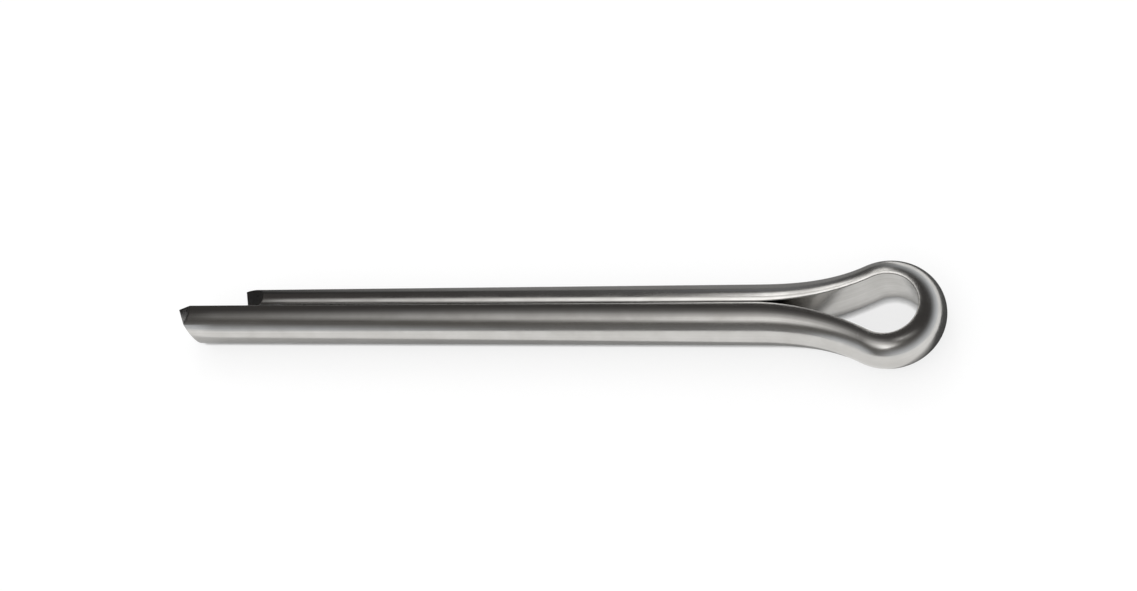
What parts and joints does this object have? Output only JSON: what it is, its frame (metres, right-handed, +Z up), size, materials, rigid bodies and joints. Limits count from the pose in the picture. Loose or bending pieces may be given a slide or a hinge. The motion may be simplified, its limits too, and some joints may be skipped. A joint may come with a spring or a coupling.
{
  "type": "cotter pin",
  "caption": "Half-round steel wire folded into a round eye and closed legs of unequal length, pushed through a hole and bent open to lock a shaft or castle nut.",
  "frame": {"origin": "on the pin's axis at the seat, where the eye's necks stop against the rim of the hole", "axes": "+X along the pin's axis from the tips to the eye, +Y across the loop on the short leg's side, +Z up, square to the loop, with the pin lying flat"},
  "size_m": [0.0524, 0.0068, 0.0036],
  "materials": {
    "steel_wire": "bright drawn"
  },
  "bodies": {
    "root": {"cotter_pin": "steel_wire"}
  },
  "joints": []
}
